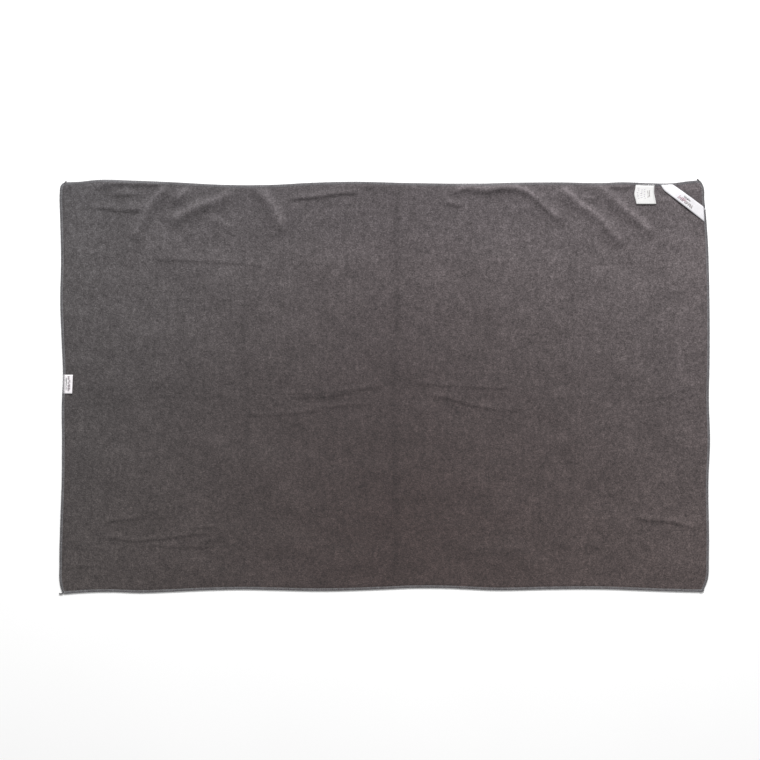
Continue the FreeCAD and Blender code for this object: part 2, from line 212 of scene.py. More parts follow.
# Where a tag, a label or the ribbon is caught in a seam, and how much higher the seam runs over it.
CAUGHT = {
    LEFT: ((TAG_LOW.y, TAG_HIGH.y, 0.75),),
    RIGHT: ((327, 357, 0.5),),
    TOP: ((LABEL_LOW.x, LABEL_HIGH.x, 0.8), (551, 577, 0.5)),
    BOTTOM: (),
}
CAUGHT_SLOPE = 2.5         # the seam climbs and falls over this length

# ---------------------------------------------------------------- print sizes

# A block's width and step, as shares of the nominal ones, and the cuts at its foot and head, drawn at random.
BLOCK_WIDTHS, BLOCK_STEPS = (0.7, 1.2), (0.85, 1.15)
BLOCK_FEET, BLOCK_HEADS = (0, 0, 0.35), (0, 0, 0.3)
INK_PROUD, INK_SUNK = 0.06, 0.05


# ================================================================ curves and meshes


def smooth(points, at):
    """A smooth curve through (place, value) points, read at the places in at."""
    px, py = np.array(points, float).T
    slope = np.gradient(py, px)
    i = np.clip(np.searchsorted(px, at) - 1, 0, len(px) - 2)
    width = px[i + 1] - px[i]
    t = np.clip((at - px[i]) / width, 0, 1)
    start = (2 * t**3 - 3 * t**2 + 1) * py[i] + (t**3 - 2 * t**2 + t) * width * slope[i]
    return start + (3 * t**2 - 2 * t**3) * py[i + 1] + (t**3 - t**2) * width * slope[i + 1]


def smooth_line(points, count):
    """count places, evenly apart, on the smooth curve through two or more points."""
    points = np.array(points, float)
    steps = np.linalg.norm(np.diff(points, axis=0), axis=1)
    run = np.concatenate([[0], np.cumsum(steps)])
    at = np.linspace(0, run[-1], count)
    return np.stack([smooth(np.stack([run, column], 1), at) for column in points.T], 1)


def ease(value, low, high):
    """0 below low, 1 above high, and an S between them."""
    t = np.clip((value - low) / (high - low), 0, 1)
    return t * t * (3 - 2 * t)


def grid_faces(rows, cols, start=0, flip=False):
    """The faces of a grid of points. start is its first point's number, and flip turns them over."""
    index = start + np.arange(rows * cols).reshape(rows, cols)
    quads = np.stack([index[:-1, :-1], index[:-1, 1:], index[1:, 1:], index[1:, :-1]], -1).reshape(-1, 4)
    return quads[:, ::-1] if flip else quads


def slab(top, bottom):
    """A closed shape between two grids of points, with its rim."""
    rows, cols = top.shape[:2]
    size = rows * cols
    index = np.arange(size).reshape(rows, cols)
    rim = np.concatenate([index[0, :], index[1:, -1], index[-1, -2::-1], index[-2:0:-1, 0]])
    after = np.roll(rim, -1)
    sides = np.stack([rim + size, after + size, after, rim], 1)
    points = np.concatenate([top.reshape(-1, 3), bottom.reshape(-1, 3)])
    faces = np.concatenate([grid_faces(rows, cols), grid_faces(rows, cols, size, True), sides])
    return points, faces


def tube(path, outward, radius, sides):
    """A closed thread along path. outward says, at each point, which way its first side faces."""
    along = np.gradient(path, axis=0)
    along /= np.linalg.norm(along, axis=1, keepdims=True)
    first = outward - along * (outward * along).sum(1, keepdims=True)
    first /= np.linalg.norm(first, axis=1, keepdims=True)
    second = np.cross(along, first)
    turn = np.linspace(0, 2 * math.pi, sides, endpoint=False)
    ring = first[:, None] * np.cos(turn)[:, None] + second[:, None] * np.sin(turn)[:, None]
    rows = len(path)
    points = (path[:, None] + ring * np.reshape(radius, (-1, 1, 1))).reshape(-1, 3)
    index = np.arange(rows * sides).reshape(rows, sides)
    after = np.roll(index, -1, axis=1)
    walls = np.stack([index[:-1], after[:-1], after[1:], index[1:]], -1).reshape(-1, 4)
    caps = [index[0, ::-1].tolist(), index[-1].tolist()]
    return points, walls.tolist() + caps


def add_mesh(name, parts, materials, rest=None):
    """One object from (points, faces, material number) parts, in millimetres. rest is each point's place for
    its weave, and is the point itself unless it is given."""
    points = np.concatenate([p for p, _, _ in parts])
    faces, numbers, start = [], [], 0
    for part_points, part_faces, number in parts:
        faces += [[start + i for i in face] for face in np.asarray(part_faces, object).tolist()]
        numbers += [number] * len(part_faces)
        start += len(part_points)
    mesh = bpy.data.meshes.new(name)
    mesh.from_pydata((points * MM).tolist(), [], faces)
    mesh.polygons.foreach_set("use_smooth", [True] * len(faces))
    mesh.polygons.foreach_set("material_index", numbers)
    place = points if rest is None else rest
    mesh.attributes.new("rest", "FLOAT_VECTOR", "POINT").data.foreach_set("vector", (place * MM).ravel())
    mesh.update()
    for material in materials:
        mesh.materials.append(material)
    obj = bpy.data.objects.new(name, mesh)
    bpy.context.scene.collection.objects.link(obj)
    return obj


# ================================================================ how the towel lies


def round_corners(x, y):
    """Moves the places near the four corners inwards, so that each corner is round."""
    x, y = x.copy(), y.copy()
    for name, radius in CORNER_RADII.items():
        side = 1 if "right" in name else -1
        end = 1 if "top" in name else -1
        across = (side * x - (HALF_LENGTH - radius)) / radius
        up = (end * y - (HALF_WIDTH - radius)) / radius
        near = (across > 0) & (up > 0)
        length = np.hypot(across, up)
        scale = np.where(near, np.maximum(across, up) / np.maximum(length, NOT_ZERO), 1)
        x = np.where(near, side * (HALF_LENGTH - radius + radius * across * scale), x)
        y = np.where(near, end * (HALF_WIDTH - radius + radius * up * scale), y)
    return x, y


def edge_pull(distance):
    """The share of an edge's wander that is felt at a distance from that edge."""
    return np.exp(-((distance / EDGE_REACH) ** 2))


def lay_flat(x, y):
    """Where a place on the cut rectangle really lies, seen from above."""
    x, y = round_corners(np.asarray(x, float), np.asarray(y, float))
    moved_x = x + smooth(RIGHT_EDGE, y) * edge_pull(HALF_LENGTH - x)
    moved_x = moved_x - smooth(LEFT_EDGE, y) * edge_pull(HALF_LENGTH + x)
    moved_y = y + smooth(TOP_EDGE, x) * edge_pull(HALF_WIDTH - y)
    moved_y = moved_y - smooth(BOTTOM_EDGE, x) * edge_pull(HALF_WIDTH + y)
    return moved_x, moved_y


def from_line(x, y, line):
    """Each place's distance from a line of points, how far along the line it is, the line's length, and if
    the place is on its upper side."""
    steps = np.linalg.norm(np.diff(line, axis=0), axis=1)
    run = np.concatenate([[0], np.cumsum(steps)])
    best = np.full(x.shape, np.inf)
    along = np.zeros(x.shape)
    above = np.zeros(x.shape, bool)
    for start, end, length, before in zip(line[:-1], line[1:], steps, run):
        dx, dy = (end - start) / length
        t = np.clip((x - start[0]) * dx + (y - start[1]) * dy, 0, length)
        off_x, off_y = x - start[0] - t * dx, y - start[1] - t * dy
        gap = np.hypot(off_x, off_y)
        nearer = gap < best
        best = np.where(nearer, gap, best)
        along = np.where(nearer, before + t, along)
        above = np.where(nearer, (off_y * dx - off_x * dy) * dx > 0, above)
    return best, along, run[-1], above


def waves(x, y, size, seed, count=14):
    """A smooth random swell of about 1 high, made of waves of about that size."""
    draw = np.random.default_rng(seed)
    total = np.zeros(np.shape(x))
    for _ in range(count):
        heading = draw.uniform(0, math.pi)
        length = size * draw.uniform(0.7, 1.6)
        phase = draw.uniform(0, 2 * math.pi)
        total += np.sin((x * math.cos(heading) + y * math.sin(heading)) * 2 * math.pi / length + phase)
    return total / math.sqrt(count / 2)


def ridges(x, y):
    """How high the cloth stands off the floor in its ridges and creases, how much painted highlight each
    place gets near a crest, and how much painted shade near the furrow at a sharp side's foot."""
    height = np.zeros(np.shape(x))
    crest = np.zeros(np.shape(x))
    furrow = np.zeros(np.shape(x))
    for points, high, upper, lower, fade in RIDGES + CREASES:
        line = smooth_line(points, LINE_DETAIL * len(points))
        gap, along, length, above = from_line(x, y, line)
        ends = ease(along, 0, fade) * ease(length - along, 0, fade)
        profile = np.exp(-((gap / np.where(above, upper, lower)) ** 2))
        height = np.maximum(height, high * ends * profile)

        # The painted highlight: a lighter strip along the crest, mostly on its upper side, which faces the
        # lamp.
        middle = upper * above * CREST_PLACE
        width = CREST_SHARE * np.where(above, upper, lower * CREST_BELOW)
        highlight_strength = min(high / CREST_HIGHLIGHT_FULL, 1) * ends
        crest = np.maximum(crest, highlight_strength * np.exp(-(((gap - middle) / width) ** 2)))

        # The painted shade: darker along the foot of a sharp lower side, or over the whole of a low, soft
        # crease; closed is how strong it is.
        closed = min(high / CREASE_SHADE_FULL, 1) * ends
        if lower < CREASE_SHARP:
            foot = np.exp(-(((gap - lower * FURROW_PLACE) / FURROW_WIDTH) ** 2)) * ~above
            furrow = np.maximum(furrow, closed * foot)
        elif high <= CREASE_LOW:
            furrow = np.maximum(furrow, closed * profile)
    return height, crest, furrow


def swell(x, y):
    """The low, slow unevenness of a cloth that was spread out by hand."""
    slow = sum(high * waves(x, y, size, SEED + number) for number, (high, size) in enumerate(SWELLS))
    return np.maximum(slow + SWELL_RISE, 0) * ease(edge_distance(x, y), *SWELL_EDGE)


def ground(x, y):
    """The height of the cloth's underside off the floor."""
    return ridges(x, y)[0] + swell(x, y)


def edge_distance(x, y):
    """How far inside the cut rectangle a place is."""
    return np.minimum(HALF_LENGTH - np.abs(x), HALF_WIDTH - np.abs(y))


# ================================================================ the pieces


def grid_places(half, stops, cells):
    """Places across the cloth: the hem's own steps at both ends, and the given cells between the stops."""
    hem = np.array(HEM_STEPS, float)
    stops = [-half + hem[-1], *stops, half - hem[-1]]
    places = [-half + hem[:-1]]
    for start, end, cell in zip(stops[:-1], stops[1:], cells):
        places.append(np.linspace(start, end, int(round((end - start) / cell)) + 1)[:-1])
    places += [stops[-1:], (half - hem[:-1])[::-1]]
    return np.concatenate(places)


def towel_cloth(material):
    """The cloth: one closed sheet over both halves, with a thin hem, a painted highlight on its crests and
    painted shade in its furrows."""
    fold = (FOLD_X - FOLD_ZONE * FOLD_REACH, FOLD_X + FOLD_ZONE * FOLD_REACH)
    columns = grid_places(HALF_LENGTH, fold, (CELL_ALONG, FOLD_CELL, CELL_ALONG))
    rows = grid_places(HALF_WIDTH, ROW_STOPS, ROW_CELLS)
    x, y = np.meshgrid(columns, rows)
    lying_x, lying_y = lay_flat(x, y)
    off_floor = ground(lying_x, lying_y)
    pile = ease(edge_distance(x, y), PILE_START, PILE_END)
    nap = NAP_HIGH * waves(x, y, NAP_SIZE, SEED + len(SWELLS)) * pile
    low = off_floor + HEM_LOW * (1 - pile)
    high = off_floor + HEM_HIGH + (PILE_HIGH - HEM_HIGH) * pile + nap
    top = np.stack([lying_x, lying_y, high], -1)
    bottom = np.stack([lying_x, lying_y, low], -1)
    points, faces = slab(top, bottom)
    rest = np.stack([x, y, np.zeros_like(x)], -1).reshape(-1, 3)
    rest = np.concatenate([rest, rest + np.array([0, 0, -OTHER_PILE])])
    cloth = add_mesh("towel_cloth", [(points, faces, 0)], [material], rest)

    # The painted highlight and shade, on the upper side only; the underside gets none.
    _, crest, furrow = ridges(lying_x, lying_y)
    for name, share in (("painted_crest_highlight", crest.ravel()), ("painted_furrow_shade", furrow.ravel())):
        attribute = cloth.data.attributes.new(name, "FLOAT", "POINT")
        attribute.data.foreach_set("value", np.concatenate([share, np.zeros_like(share)]))
    return cloth


def edge_place(side, along, inset):
    """The place on the cut rectangle at a distance along one side and an inset from its edge."""
    if side in (LEFT, RIGHT):
        sign = 1 if side == RIGHT else -1
        return sign * (HALF_LENGTH - inset), along
    sign = 1 if side == TOP else -1
    return along, sign * (HALF_WIDTH - inset)


def seam_points(side, along, inset, height):
    """Places on a seam, which lies and rises with the cloth."""
    x, y = lay_flat(*edge_place(side, along, inset))
    return np.stack([x, y, ground(x, y) + height], -1)


def caught_height(side, along):
    """How much higher the seam runs where something is sewn into it."""
    extra = np.zeros(len(along))
    for start, end, lift in CAUGHT[side]:
        climb = ease(along, start - CAUGHT_SLOPE, start)
        fall = ease(-along, -end - CAUGHT_SLOPE, -end)
        extra = np.maximum(extra, lift * climb * fall)
    return extra


def squared(wave, power):
    """A wave from -1 to 1 with its round tops made flatter."""
    return np.sign(wave) * np.abs(wave) ** power


def looper_thread(side, start, end, turns):
    """The thread that coils round the hem, a little unevenly."""
    step = np.arange(turns * COIL_POINTS + 1) / COIL_POINTS
    angle = step * 2 * math.pi
    draw = np.random.default_rng(SEED + len(side))
    uneven = np.repeat(draw.normal(0, COIL_UNEVEN, turns + 1), COIL_POINTS)[: len(step)]
    along = start + (end - start) * step / turns + STITCH * uneven
    reach = (SEAM_WIDTH - 2 * THREAD) / 2
    rise = SEAM_HEIGHT / 2 - THREAD
    inset = SEAM_WIDTH / 2 - COIL_OUT - reach * squared(np.cos(angle), COIL_FLAT_EDGE) * (1 + uneven)
    height = SEAM_HEIGHT / 2 + rise * squared(np.sin(angle), COIL_FLAT_TOP)
    height += np.where(np.sin(angle) > 0, caught_height(side, along), 0) * np.sin(angle)
    path = seam_points(side, along, inset, height)
    core = seam_points(side, along, np.full(len(along), SEAM_WIDTH / 2), np.full(len(along), SEAM_HEIGHT / 2))
    return tube(path, path - core, THREAD, COIL_SIDES)


def needle_thread(side, start, end, turns):
    """The thread that runs in small beats along the seam's inner side."""
    count = turns * NEEDLE_POINTS
    along = np.linspace(start, end, count + 1)
    beat = np.abs(np.sin(np.arange(count + 1) * math.pi / NEEDLE_POINTS))
    height = SEAM_HEIGHT - NEEDLE_DROP + NEEDLE_BEAT * beat + caught_height(side, along)
    path = seam_points(side, along, np.full(len(along), SEAM_WIDTH - NEEDLE_INSET), height)
    up = np.tile([0.0, 0.0, 1.0], (len(path), 1))
    return tube(path, up, NEEDLE_THREAD, NEEDLE_SIDES)


def overlock(side, start, end, material):
    """One edge's seam: the looper thread round the hem and the needle thread beside it."""
    turns = int(abs(end - start) / STITCH)
    threads = (looper_thread(side, start, end, turns), needle_thread(side, start, end, turns))
    return add_mesh(f"{side}_seam", [(*thread, 0) for thread in threads], [material])


def chain_tail(name, route, material):
    """The little chain that a seam leaves where it runs off the cloth: three threads twisted together."""
    core = smooth_line(route, TAIL_POINTS)
    along = np.gradient(core, axis=0)
    along /= np.linalg.norm(along, axis=1, keepdims=True)
    side = np.cross(along, [0, 0, 1.0])
    side /= np.linalg.norm(side, axis=1, keepdims=True)
    up = np.cross(side, along)
    turn = np.linspace(0, TAIL_TURNS * 2 * math.pi, len(core))
    parts = []
    for strand in range(TAIL_STRANDS):
        angle = turn + strand * 2 * math.pi / TAIL_STRANDS
        out = side * np.cos(angle)[:, None] + up * np.sin(angle)[:, None]
        parts.append((*tube(core + TAIL_OFFSET * out, out, TAIL_THREAD, TAIL_SIDES), 0))
    return add_mesh(name, parts, [material])


def strip(place, thick, rows, cols):
    """A thin woven strip. place(u, v, lift) gives the points of its sheet, u and v from 0 to 1."""
    u, v = np.meshgrid(np.linspace(0, 1, cols), np.linspace(0, 1, rows))
    return slab(place(u, v, thick / 2), place(u, v, -thick / 2))


def print_row(place, number, start, end, low, high, pitch, fill, thick):
    """A row of small printed blocks along u, uneven in width and height as a line of print is."""
    draw = np.random.default_rng(SEED + int(1000 * (start + low)))
    parts = []
    at = start
    while at < end:
        width = pitch * fill * draw.uniform(*BLOCK_WIDTHS)
        floor = low + (high - low) * draw.choice(BLOCK_FEET)
        roof = high - (high - low) * draw.choice(BLOCK_HEADS)
        parts.append((*mark(place, at, at + width, floor, roof, thick), number))
        at += pitch * draw.uniform(*BLOCK_STEPS)
    return parts


def print_column(place, number, start, end, low, high, pitch, fill, thick):
    """The same, along v."""

    def turned(u, v, lift):
        return place(v, u, lift)

    return print_row(turned, number, start, end, low, high, pitch, fill, thick)


# ---- hanging ribbon

RIBBON_LOWER = (
    (553.0, 404.6), (559.2, 393.6), (562.4, 390.3), (566.5, 387.1), (600.0, 361.2), (641.8, 328.9),
)
RIBBON_UPPER = ((577.2, 404.6), (579.6, 402.9), (607.5, 382.6), (636.8, 361.4), (640.2, 358.9))
RIBBON_THICK = 0.45
# Rows of print: ink, low and high edge across the ribbon, start and end along it, pitch, share that is inked.
RIBBON_PRINT = (
    (1, 0.60, 0.79, 0.43, 0.62, 0.018, 0.66),
    (2, 0.22, 0.56, 0.36, 0.52, 0.022, 0.64),
    (3, 0.20, 0.48, 0.53, 0.68, 0.021, 0.64),
)
RIBBON_FOOT = 2.0          # its height where the seams hold it
RIBBON_CLEAR = 1.15        # how much it climbs as it leaves a seam
RIBBON_RISE = 2.8          # how much higher it arches in its middle
RIBBON_CUP = 0.25
RIBBON_END = 0.012         # the share of the ribbon's length that is inside each seam
RIBBON_CLIMB = (0.3, 2.4)  # where that climb starts and ends, in such shares
RIBBON_POINTS = 60
RIBBON_GRID = (9, 60)
RIBBON_TURN = math.radians(38.5)
FRAY_PLACE = (642.6, 354.8)
FRAY_THREADS, FRAY_SPREAD = 9, 2.2
FRAY_ROOT = 3.0            # how far inside the seam's outer edge each thread starts
FRAY_OVER = (0.2, 0.9)     # how far above the seam it passes: random, as the next three are
FRAY_OUT = (0.8, 2.2)      # how far past the seam it ends
FRAY_STRAY = (-0.6, 0.6)
FRAY_DOWN = (1.6, 3.0)     # the height that it ends at
FRAY_RADII = (0.24, 0.12)
FRAY_POINTS, FRAY_SIDES = 9, 5


def ribbon_place(u, v, lift):
    """The ribbon: u runs along it from the top seam to the right one, v from its lower edge to its upper."""
    lower = smooth_line(RIBBON_LOWER, RIBBON_POINTS)
    upper = smooth_line(RIBBON_UPPER, RIBBON_POINTS)
    at = u * (RIBBON_POINTS - 1)
    steps = np.arange(RIBBON_POINTS)
    x, y = (
        np.interp(at, steps, lower[:, axis]) * (1 - v) + np.interp(at, steps, upper[:, axis]) * v
        for axis in (0, 1)
    )
    inside = np.minimum(u, 1 - u)
    climb = ease(inside, RIBBON_END * RIBBON_CLIMB[0], RIBBON_END * RIBBON_CLIMB[1])
    arch = np.sin(np.clip((u - RIBBON_END) / (1 - 2 * RIBBON_END), 0, 1) * math.pi)
    cup = RIBBON_CUP * (2 * v - 1) ** 2
    rise = RIBBON_CLEAR * climb + RIBBON_RISE * arch - cup
    return np.stack([x, y, RIBBON_FOOT + ground(x, y) + rise + lift], -1)


def hanging_ribbon(cloth, ink):
    """The ribbon across the corner, with its print and its frayed end."""
    parts = [(*strip(ribbon_place, RIBBON_THICK, *RIBBON_GRID), 0)]
    for number, low, high, start, end, pitch, fill in RIBBON_PRINT:
        parts += print_row(ribbon_place, number, start, end, low, high, pitch, fill, RIBBON_THICK)
    return add_mesh("loop_ribbon", parts + frayed_end(), [cloth, *ink])


def frayed_end():
    """The few threads of the ribbon's cut end that stick out through the right seam."""
    draw = np.random.default_rng(SEED + 21)
    x, y = FRAY_PLACE
    parts = []
    for _ in range(FRAY_THREADS):
        off = draw.uniform(-FRAY_SPREAD, FRAY_SPREAD)
        start = (x - FRAY_ROOT, y + 0.5 * off, RIBBON_FOOT + 0.3)
        middle = (x, y + 0.8 * off, SEAM_HEIGHT + draw.uniform(*FRAY_OVER))
        end = (x + draw.uniform(*FRAY_OUT), y + off + draw.uniform(*FRAY_STRAY), draw.uniform(*FRAY_DOWN))
        line = smooth_line((start, middle, end), FRAY_POINTS)
        radius = np.linspace(*FRAY_RADII, FRAY_POINTS)
        outward = np.tile([0.0, 0.3, 1.0], (FRAY_POINTS, 1))
        parts.append((*tube(line, outward, radius, FRAY_SIDES), 0))
    return parts


def mark(place, u0, u1, v0, v1, thick):
    """A small printed block on a strip."""
    u, v = np.meshgrid(np.linspace(u0, u1, 3), np.linspace(v0, v1, 3))
    return slab(place(u, v, thick / 2 + INK_PROUD), place(u, v, thick / 2 - INK_SUNK))


# ---- care label

LABEL_THICK = 0.28
LABEL_GAP = 0.1            # between its upper end and the box it has in the frame
LABEL_BULGE = 0.5          # how much its left side bulges, as a share of its curl
LABEL_TUCK = (0.03, 0.12)  # where the seam's press ends, in shares of the way down
LABEL_GRID = (22, 14)
# Each leaf: its height, its curl, how far the seam presses it down, and how far its left and right edges
# wander at shares of the way down.
BACK_LEAF = {
    "z": 2.75,
    "curl": 0.9,
    "tuck": 0.85,
    "left": ((0, 0.8), (0.5, -1.5), (1, 1.0)),
    "right": ((0, -3.5), (0.5, -4.0), (0.7, -2.4), (1, -0.4)),
}
FRONT_LEAF = {
    "z": 3.20,
    "curl": 1.7,
    "tuck": 1.0,
    "left": ((0, 0.0), (0.25, -1.6), (0.52, -3.4), (0.8, -0.8), (1, 0.8)),
    "right": ((0, -0.6), (0.4, -2.0), (0.7, -1.6), (1, 0)),
}


def leaf_place(leaf, right):
    """A leaf of the care label, from its free end (v 0) up to its seam (v 1)."""
    top = LABEL_HIGH.y - LABEL_GAP

    def place(u, v, lift):
        down = 1 - v
        left_x = LABEL_LOW.x + smooth(leaf["left"], down)
        right_x = right + smooth(leaf["right"], down)
        x = left_x * (1 - u) + right_x * u
        y = top + (LABEL_LOW.y - top) * down
        bulge = leaf["curl"] * (down**2 + LABEL_BULGE * np.sin(down * math.pi) * (1 - u) ** 2)
        height = leaf["z"] - leaf["tuck"] * (1 - ease(down, *LABEL_TUCK)) + bulge
        return np.stack([x, y, ground(x, y) + height + lift], -1)

    return place


def care_leaf(name, leaf, right, marks, cloth, ink):
    """One leaf of the care label with its print."""
    place = leaf_place(leaf, right)
    parts = [(*strip(place, LABEL_THICK, *LABEL_GRID), 0)]
    for number, low, high, start, end, pitch, fill in marks:
        parts += print_column(place, number, start, end, low, high, pitch, fill, LABEL_THICK)
    return add_mesh(name, parts, [cloth, *ink])


# Columns of print: ink, left and right edge, start and end up the leaf, pitch, share that is inked.
FRONT_PRINT = (
    (1, 0.66, 0.72, 0.32, 0.66, 0.034, 0.6),
    (1, 0.745, 0.80, 0.36, 0.68, 0.030, 0.6),
    (2, 0.12, 0.22, 0.28, 0.82, 0.100, 0.6),
    (2, 0.31, 0.39, 0.32, 0.78, 0.095, 0.6),
    (2, 0.48, 0.55, 0.28, 0.80, 0.090, 0.6),
    (2, 0.10, 0.125, 0.07, 0.09, 0.100, 0.2),
)

# ---- side tag

TAG_THICK = 0.34
TAG_FOLD = 0.60
TAG_SEAM = 0.3             # how much of it is inside the nominal seam
TAG_SINK = 0.25            # how much lower it starts than its box in the frame
TAG_STEP, TAG_CLIMB = 0.9, (1.5, 5)     # it climbs off the seam by this, between these distances
TAG_LIFT, TAG_STIFF = 1.7, 0.3  # its fold stands up by this, from this share of its length on
TAG_SKEW = 1.6             # how much shorter its lower end is
TAG_GRID = (16, 72)
TAG_PRINT = (
    (1, 0.16, 0.84, 0.805, 0.885, 0.040, 0.66),
    (2, 0.08, 0.90, 0.620, 0.770, 0.050, 0.66),
)


def tag_place(u, v, lift):
    """The folded tag: u runs from the seam along the lower layer, round the fold and back on the upper one,
    and v from its top to its bottom."""
    up = 1 - v
    start = TAG_LOW.x - TAG_SEAM
    half_turn = math.pi * TAG_FOLD / 2
    length = TAG_HIGH.x - start - TAG_FOLD / 2 - TAG_SKEW * (1 - up)
    run = u * (2 * length + half_turn)
    turn = np.clip((run - length) / half_turn, 0, 1) * math.pi
    flat = np.minimum(np.minimum(run, length), 2 * length + half_turn - run)
    radius = TAG_FOLD / 2 + lift
    step = TAG_STEP * ease(flat, TAG_SEAM + TAG_CLIMB[0], TAG_SEAM + TAG_CLIMB[1])
    raised = step + TAG_LIFT * ease(flat, length * TAG_STIFF, length)
    x = start + flat + radius * np.sin(turn)
    y = TAG_LOW.y + (TAG_HIGH.y - TAG_LOW.y) * up
    z = ground(x, y) + TAG_LOW.z - TAG_SINK + raised - radius * np.cos(turn)
    return np.stack([x, y, z], -1)


def side_tag(cloth, ink):
    """The folded side tag with its print."""
    parts = [(*strip(tag_place, TAG_THICK, *TAG_GRID), 0)]
    for number, start, end, low, high, pitch, fill in TAG_PRINT:
        parts += print_column(tag_place, number, start, end, low, high, pitch, fill, TAG_THICK)
    return add_mesh("woven_side_tag", parts, [cloth, *ink])


# ================================================================ materials
# Scales and distances are in metres here, as the rest place is.


def add(tree, kind, inputs=(), **settings):
    """A node. Each input is a plain value or the output of another node."""
    node = tree.nodes.new(kind)
    for key, value in settings.items():
        setattr(node, key, value)
    for key, value in dict(inputs).items():
        if isinstance(value, bpy.types.NodeSocket):
            tree.links.new(value, node.inputs[key])
        else:
            node.inputs[key].default_value = value
    return node


def new_material(name, values):
    """A material with its shader's plain values set, and the rest place for its patterns."""
    material = bpy.data.materials.new(name)
    material.use_nodes = True
    tree = material.node_tree
    shader = tree.nodes["Principled BSDF"]
    for key, value in values.items():
        shader.inputs[key].default_value = value
    rest = add(tree, "ShaderNodeAttribute", attribute_name="rest").outputs["Vector"]
    return material, tree, shader, rest


def noise_of(tree, place, scale, detail=2.0, stretch=(1, 1, 1)):
    """Noise from 0 to 1 with about that many spots in a metre."""
    mapped = add(tree, "ShaderNodeMapping", {"Vector": place, "Scale": stretch}).outputs["Vector"]
    node = add(tree, "ShaderNodeTexNoise", {"Vector": mapped, "Scale": scale, "Detail": detail})
    return node.outputs["Fac"]


def total(tree, *terms):
    """The sum of (output, weight) terms."""
    result = 0.0
    for output, weight in terms:
        node = add(tree, "ShaderNodeMath", {0: output, 1: weight, 2: result}, operation="MULTIPLY_ADD")
        result = node.outputs[0]
    return result


def ramp(tree, value, stops):
    """Colours at places from 0 to 1."""
    node = add(tree, "ShaderNodeValToRGB", {"Fac": value})
    elements = node.color_ramp.elements
    while len(elements) < len(stops):
        elements.new(0.5)
    for element, (place, colour) in zip(elements, stops):
        element.position = place
        element.color = (*colour, 1)
    return node.outputs["Color"]


def spread(tree, value, low, high):
    """value stretched so that low becomes 0 and high becomes 1."""
    node = add(tree, "ShaderNodeMapRange", {"Value": value, "From Min": low, "From Max": high})
    return node.outputs["Result"]


def mix(tree, kind, a, b):
    """Two colours multiplied or added, as kind says."""
    node = add(tree, "ShaderNodeMix", {6: a, 7: b, 0: 1.0}, data_type="RGBA", blend_type=kind)
    return node.outputs[2]


def bump(tree, shader, height, distance, strength):
    """Raises the shader's surface by height x distance, in metres, in its light only."""
    node = add(tree, "ShaderNodeBump", {"Height": height, "Distance": distance, "Strength": strength})
    tree.links.new(node.outputs["Normal"], shader.inputs["Normal"])


# Painted light: an even grey added to the pile's own colour, standing in for light scattered between the
# fibres and for the sheen and gloss that the shader keeps low.
PILE_PAINTED_SCATTER = (0.0197, 0.0192, 0.0194, 1)
# The part of the pile's tone that its colours run over, and the colours.
PILE_TONES = (0.437, 0.820)
PILE_COLOURS = ((0.0, (0.018, 0.0135, 0.0137)), (0.5, (0.066, 0.054, 0.0545)), (1.0, (0.15, 0.126, 0.127)))
# What the colour is multiplied by: painted light from the bottom edge to the top and from the left edge to
# the right, lighter towards the top and the right as the lamp and the pile's sheen would light it, and from
# the rim of the round patch to its middle.
PILE_PAINTED_LIGHT_UP = (
    (0.0, (0.90, 0.90, 0.90)),
    (0.5, (0.86, 0.91, 0.96)),
    (0.8, (1.13, 1.24, 1.335)),
    (1.0, (1.00, 1.12, 1.24)),
)
PILE_PAINTED_LIGHT_ALONG = ((0.0, (0.87, 0.88, 0.83)), (0.5, (0.92, 0.84, 0.80)), (1.0, (1.24, 1.14, 1.08)))
PILE_PATCH = ((0.0, (1.0, 1.0, 1.0)), (1.0, (0.75, 0.645, 0.625)))
PATCH_CENTRE = (0.03, -0.27)     # metres
PATCH_RADII = (0.65, 0.60)


def attribute_of(tree, name):
    """One of the cloth's own values from 0 to 1."""
    return add(tree, "ShaderNodeAttribute", attribute_name=name).outputs["Fac"]


def pile_painted_light_and_patch(tree, rest):
    """Painted light and shade across the towel (Y) and along it (X), lighter towards the top and the right as
    the lamp and the pile's sheen would light it, and one round patch laid over, darker in its middle.
    """
    apart = add(tree, "ShaderNodeSeparateXYZ", {"Vector": rest})
    across = spread(tree, apart.outputs["Y"], -HALF_WIDTH * MM, HALF_WIDTH * MM)
    along = spread(tree, apart.outputs["X"], -HALF_LENGTH * MM, HALF_LENGTH * MM)
    (centre_x, centre_y), (radius_x, radius_y) = PATCH_CENTRE, PATCH_RADII
    placed = add(
        tree,
        "ShaderNodeMapping",
        {
            "Vector": rest,
            "Scale": (1 / radius_x, 1 / radius_y, 0),
            "Location": (-centre_x / radius_x, -centre_y / radius_y, 0),
        },
    ).outputs["Vector"]
    patch = add(tree, "ShaderNodeTexGradient", {"Vector": placed}, gradient_type="SPHERICAL").outputs["Fac"]
    return ramp(tree, across, PILE_PAINTED_LIGHT_UP), ramp(tree, along, PILE_PAINTED_LIGHT_ALONG), ramp(tree, patch, PILE_PATCH)


